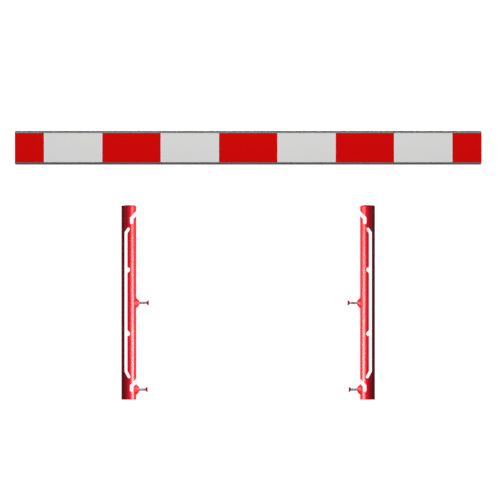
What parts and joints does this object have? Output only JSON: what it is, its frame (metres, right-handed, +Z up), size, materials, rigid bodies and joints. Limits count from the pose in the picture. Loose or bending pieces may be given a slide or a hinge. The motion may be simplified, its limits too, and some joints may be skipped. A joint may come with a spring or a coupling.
{
  "type": "parking barrier gate",
  "caption": "Striped barrier board with rear hangers that hook into J-slots of two slotted tubular posts with clamp screws; shown with the board lifted clear.",
  "frame": {"origin": "midway between the two post axes, at the level of the posts' bottom rims", "axes": "+Z up, +X along the board to the viewer's right, the striped face towards -Y"},
  "size_m": [2, 0.1316, 1.1525],
  "materials": {
    "red_powder_coat": "gloss powder coat",
    "red_cap_plastic": "moulded, semi-gloss",
    "zinc_plate": "bright zinc plate",
    "mill_aluminium": "extruded, dull grey",
    "film_red": "retroreflective film, glass-bead",
    "film_white": "retroreflective film, glass-bead",
    "dark_plastic": "moulded, matte"
  },
  "bodies": {
    "posts": {"left_post_tube": "red_powder_coat", "left_post_cap": "red_cap_plastic", "left_middle_weld_nut": "red_powder_coat", "left_middle_weld_bead": "red_powder_coat", "left_low_weld_nut": "red_powder_coat", "left_low_weld_bead": "red_powder_coat", "right_post_tube": "red_powder_coat", "right_post_cap": "red_cap_plastic", "right_middle_weld_nut": "red_powder_coat", "right_middle_weld_bead": "red_powder_coat", "right_low_weld_nut": "red_powder_coat", "right_low_weld_bead": "red_powder_coat"},
    "board": {"board_profile": "mill_aluminium", "board_end_plug_left": "dark_plastic", "board_end_plug_right": "dark_plastic", "film_red_1": "film_red", "film_red_2": "film_red", "film_red_3": "film_red", "film_red_4": "film_red", "film_red_5": "film_red", "film_white_1": "film_white", "film_white_2": "film_white", "film_white_3": "film_white", "film_white_4": "film_white"},
    "left_hanger": {"left_hanger_bolt": "zinc_plate", "left_flange_nut": "zinc_plate"},
    "left_washer": {"left_washer": "zinc_plate"},
    "left_wing_nut": {"left_wing_nut": "zinc_plate"},
    "left_middle_screw": {"left_middle_screw_shank": "zinc_plate"},
    "left_middle_screw_head": {"left_middle_screw_head": "red_powder_coat"},
    "left_low_screw": {"left_low_screw_shank": "zinc_plate"},
    "left_low_screw_head": {"left_low_screw_head": "red_powder_coat"},
    "right_hanger": {"right_hanger_bolt": "zinc_plate", "right_flange_nut": "zinc_plate"},
    "right_washer": {"right_washer": "zinc_plate"},
    "right_wing_nut": {"right_wing_nut": "zinc_plate"},
    "right_middle_screw": {"right_middle_screw_shank": "zinc_plate"},
    "right_middle_screw_head": {"right_middle_screw_head": "red_powder_coat"},
    "right_low_screw": {"right_low_screw_shank": "zinc_plate"},
    "right_low_screw_head": {"right_low_screw_head": "red_powder_coat"}
  },
  "joints": [
    {"name": "board_lift", "type": "slide", "parent": "posts", "child": "board", "axis": [0, 0, 1], "range_m": [-0.321, 0]},
    {"name": "left_hanger_slide", "type": "slide", "parent": "board", "child": "left_hanger", "axis": [1, 0, 0], "range_m": [-0.027, 0]},
    {"name": "left_washer_slide", "type": "slide", "parent": "left_hanger", "child": "left_washer", "axis": [0, 1, 0], "range_m": [-0.006, 0.005]},
    {"name": "left_wing_nut_turn", "type": "hinge", "parent": "left_washer", "child": "left_wing_nut", "pos_m": [-0.473, 0.0418, 1.08], "axis": [0, 1, 0], "range_deg": [-1234, 1028]},
    {"name": "left_middle_screw_feed", "type": "slide", "parent": "posts", "child": "left_middle_screw", "axis": [1, 0, 0], "range_m": [-0.03, 0.008]},
    {"name": "left_middle_screw_turn", "type": "hinge", "parent": "left_middle_screw", "child": "left_middle_screw_head", "pos_m": [-0.42625, 0, 0.415], "axis": [1, 0, 0], "range_deg": [-6172, 1646]},
    {"name": "left_low_screw_feed", "type": "slide", "parent": "posts", "child": "left_low_screw", "axis": [1, 0, 0], "range_m": [-0.026, 0.013]},
    {"name": "left_low_screw_turn", "type": "hinge", "parent": "left_low_screw", "child": "left_low_screw_head", "pos_m": [-0.4315, 0, 0.0435], "axis": [1, 0, 0], "range_deg": [-5349, 2675]},
    {"name": "right_hanger_slide", "type": "slide", "parent": "board", "child": "right_hanger", "axis": [-1, 0, 0], "range_m": [-0.027, 0]},
    {"name": "right_washer_slide", "type": "slide", "parent": "right_hanger", "child": "right_washer", "axis": [0, 1, 0], "range_m": [-0.006, 0.005]},
    {"name": "right_wing_nut_turn", "type": "hinge", "parent": "right_washer", "child": "right_wing_nut", "pos_m": [0.473, 0.0418, 1.08], "axis": [0, 1, 0], "range_deg": [-1234, 1028]},
    {"name": "right_middle_screw_feed", "type": "slide", "parent": "posts", "child": "right_middle_screw", "axis": [-1, 0, 0], "range_m": [-0.03, 0.008]},
    {"name": "right_middle_screw_turn", "type": "hinge", "parent": "right_middle_screw", "child": "right_middle_screw_head", "pos_m": [0.42625, 0, 0.415], "axis": [-1, 0, 0], "range_deg": [-6172, 1646]},
    {"name": "right_low_screw_feed", "type": "slide", "parent": "posts", "child": "right_low_screw", "axis": [-1, 0, 0], "range_m": [-0.026, 0.013]},
    {"name": "right_low_screw_turn", "type": "hinge", "parent": "right_low_screw", "child": "right_low_screw_head", "pos_m": [0.4315, 0, 0.0435], "axis": [-1, 0, 0], "range_deg": [-5349, 2675]}
  ],
  "couplings": [
    {"joint": "left_washer_slide", "follows": "left_wing_nut_turn", "m_per_rad": 0.00027852},
    {"joint": "left_middle_screw_turn", "follows": "left_middle_screw_feed", "rad_per_m": 3590.4},
    {"joint": "left_low_screw_turn", "follows": "left_low_screw_feed", "rad_per_m": 3590.4},
    {"joint": "right_washer_slide", "follows": "right_wing_nut_turn", "m_per_rad": 0.00027852},
    {"joint": "right_middle_screw_turn", "follows": "right_middle_screw_feed", "rad_per_m": 3590.4},
    {"joint": "right_low_screw_turn", "follows": "right_low_screw_feed", "rad_per_m": 3590.4}
  ]
}
